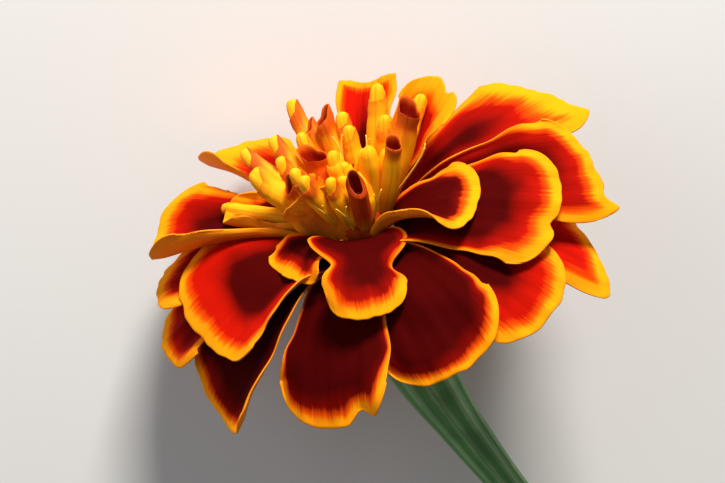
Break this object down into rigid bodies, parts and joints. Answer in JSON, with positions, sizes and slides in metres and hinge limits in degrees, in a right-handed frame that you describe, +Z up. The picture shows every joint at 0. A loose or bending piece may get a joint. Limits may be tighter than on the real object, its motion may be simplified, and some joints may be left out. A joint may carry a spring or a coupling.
{
  "type": "marigold flower",
  "caption": "Single double-flowered marigold lying on its side: red petals edged in yellow round a tuft of quilled florets, on a cut stalk.",
  "frame": {"origin": "on the table, under the middle of the flower as it lies: centre of the bounding box's base", "axes": "+Z up from the table, +Y along the stalk towards the flower head, +X to the right of the head seen from above with the stalk at the bottom"},
  "size_m": [0.0586, 0.089, 0.0403],
  "materials": {
    "ray_petals": "velvety deep red, shading through orange to a bright yellow margin; yellow-orange on the back",
    "disc_florets": "matt golden yellow quills with orange-red mouths",
    "stalk": "smooth, slightly waxy green with pale lengthwise ribs"
  },
  "bodies": {
    "root": {"lower_petal_01": "ray_petals", "lower_petal_02": "ray_petals", "lower_petal_03": "ray_petals", "lower_petal_04": "ray_petals", "lower_petal_05": "ray_petals", "lower_petal_06": "ray_petals", "lower_petal_07": "ray_petals", "lower_petal_08": "ray_petals", "lower_petal_09": "ray_petals", "lower_petal_10": "ray_petals", "lower_petal_11": "ray_petals", "lower_petal_12": "ray_petals", "middle_petal_01": "ray_petals", "middle_petal_02": "ray_petals", "middle_petal_03": "ray_petals", "middle_petal_04": "ray_petals", "middle_petal_05": "ray_petals", "middle_petal_06": "ray_petals", "middle_petal_07": "ray_petals", "middle_petal_08": "ray_petals", "inner_petal_01": "ray_petals", "inner_petal_02": "ray_petals", "inner_petal_03": "ray_petals", "inner_petal_04": "ray_petals", "inner_petal_05": "ray_petals", "inner_petal_06": "ray_petals", "inner_petal_07": "ray_petals", "disc_florets": "disc_florets", "stalk_and_cup": "stalk"}
  },
  "joints": []
}
